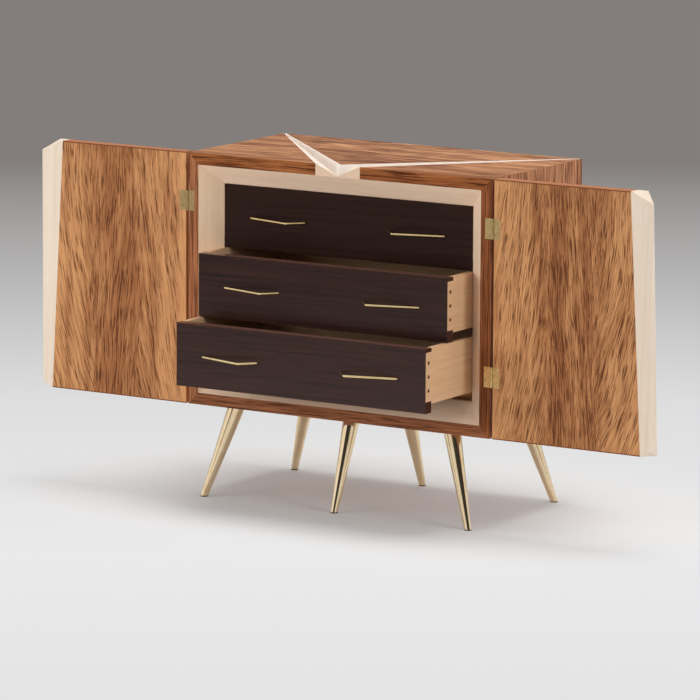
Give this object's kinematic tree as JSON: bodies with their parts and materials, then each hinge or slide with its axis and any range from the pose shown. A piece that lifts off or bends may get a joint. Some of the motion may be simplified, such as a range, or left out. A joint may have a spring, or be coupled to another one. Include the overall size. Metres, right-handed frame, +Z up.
{
  "type": "cabinet on splayed legs",
  "caption": "Low cabinet with a folded top, full-height figured doors on butt hinges, pegged dark-fronted drawers with bent rod pulls, and tapered splayed brass legs.",
  "frame": {"origin": "on the floor at the centre of the front middle foot", "axes": "+Z up, +X to the right seen from the front, +Y from the front to the back; the front faces -Y"},
  "size_m": [1.6124, 0.5953, 0.79],
  "materials": {
    "figured_veneer": "satin lacquered, flecked figure",
    "edge_wood": "satin lacquered",
    "pale_wood": "satin lacquered, fine straight grain",
    "drawer_wood": "waxed, fine straight grain",
    "dark_wood": "satin, fine straight grain",
    "peg_wood": "waxed end grain",
    "inner_wood": "waxed",
    "leg_brass": "polished",
    "pull_brass": "polished",
    "hinge_brass": "satin",
    "foot_pad": "matt"
  },
  "bodies": {
    "carcase": {"back_panel": "inner_wood", "base_panel": "figured_veneer", "case_hinge_leaves": "hinge_brass", "case_hinge_screws": "hinge_brass", "foot_pads": "foot_pad", "front_left_leg": "leg_brass", "front_middle_leg": "leg_brass", "front_rail": "inner_wood", "front_right_leg": "leg_brass", "hinge_pins": "hinge_brass", "left_liner": "inner_wood", "left_runners": "inner_wood", "left_side_panel": "figured_veneer", "leg_studs": "leg_brass", "rear_left_leg": "leg_brass", "rear_middle_leg": "leg_brass", "rear_right_leg": "leg_brass", "right_liner": "inner_wood", "right_runners": "inner_wood", "right_side_panel": "figured_veneer", "splay_base": "pale_wood", "splay_left": "pale_wood", "splay_right": "pale_wood", "splay_top": "pale_wood", "top_centre_panel": "figured_veneer", "top_left_fold": "pale_wood", "top_left_panel": "figured_veneer", "top_right_fold": "pale_wood", "top_right_panel": "figured_veneer"},
    "bottom_drawer": {"bottom_drawer_back": "drawer_wood", "bottom_drawer_bottom": "drawer_wood", "bottom_drawer_front": "dark_wood", "bottom_drawer_left_side": "drawer_wood", "bottom_drawer_pegs": "peg_wood", "bottom_drawer_pulls": "pull_brass", "bottom_drawer_right_side": "drawer_wood"},
    "left_door": {"left_door_hinge_leaves": "hinge_brass", "left_door_hinge_screws": "hinge_brass", "left_door_lippings": "edge_wood", "left_door_panel": "figured_veneer", "left_door_strip": "pale_wood"},
    "middle_drawer": {"middle_drawer_back": "drawer_wood", "middle_drawer_bottom": "drawer_wood", "middle_drawer_front": "dark_wood", "middle_drawer_left_side": "drawer_wood", "middle_drawer_pegs": "peg_wood", "middle_drawer_pulls": "pull_brass", "middle_drawer_right_side": "drawer_wood"},
    "right_door": {"right_door_hinge_leaves": "hinge_brass", "right_door_hinge_screws": "hinge_brass", "right_door_lippings": "edge_wood", "right_door_panel": "figured_veneer", "right_door_strip": "pale_wood"},
    "top_drawer": {"top_drawer_back": "drawer_wood", "top_drawer_bottom": "drawer_wood", "top_drawer_front": "dark_wood", "top_drawer_left_side": "drawer_wood", "top_drawer_pegs": "peg_wood", "top_drawer_pulls": "pull_brass", "top_drawer_right_side": "drawer_wood"}
  },
  "joints": [
    {"name": "left_door_hinge", "type": "hinge", "parent": "carcase", "child": "left_door", "pos_m": [-0.4036, 0.008, 0.5], "axis": [0, 0, -1], "range_deg": [-112, 0]},
    {"name": "right_door_hinge", "type": "hinge", "parent": "carcase", "child": "right_door", "pos_m": [0.4036, 0.008, 0.5], "axis": [0, 0, 1], "range_deg": [-112, 0]},
    {"name": "bottom_drawer_slide", "type": "slide", "parent": "carcase", "child": "bottom_drawer", "axis": [0, -1, 0], "range_m": [-0.197, 0.043]},
    {"name": "middle_drawer_slide", "type": "slide", "parent": "carcase", "child": "middle_drawer", "axis": [0, -1, 0], "range_m": [-0.107, 0.133]},
    {"name": "top_drawer_slide", "type": "slide", "parent": "carcase", "child": "top_drawer", "axis": [0, -1, 0], "range_m": [0, 0.24]}
  ]
}
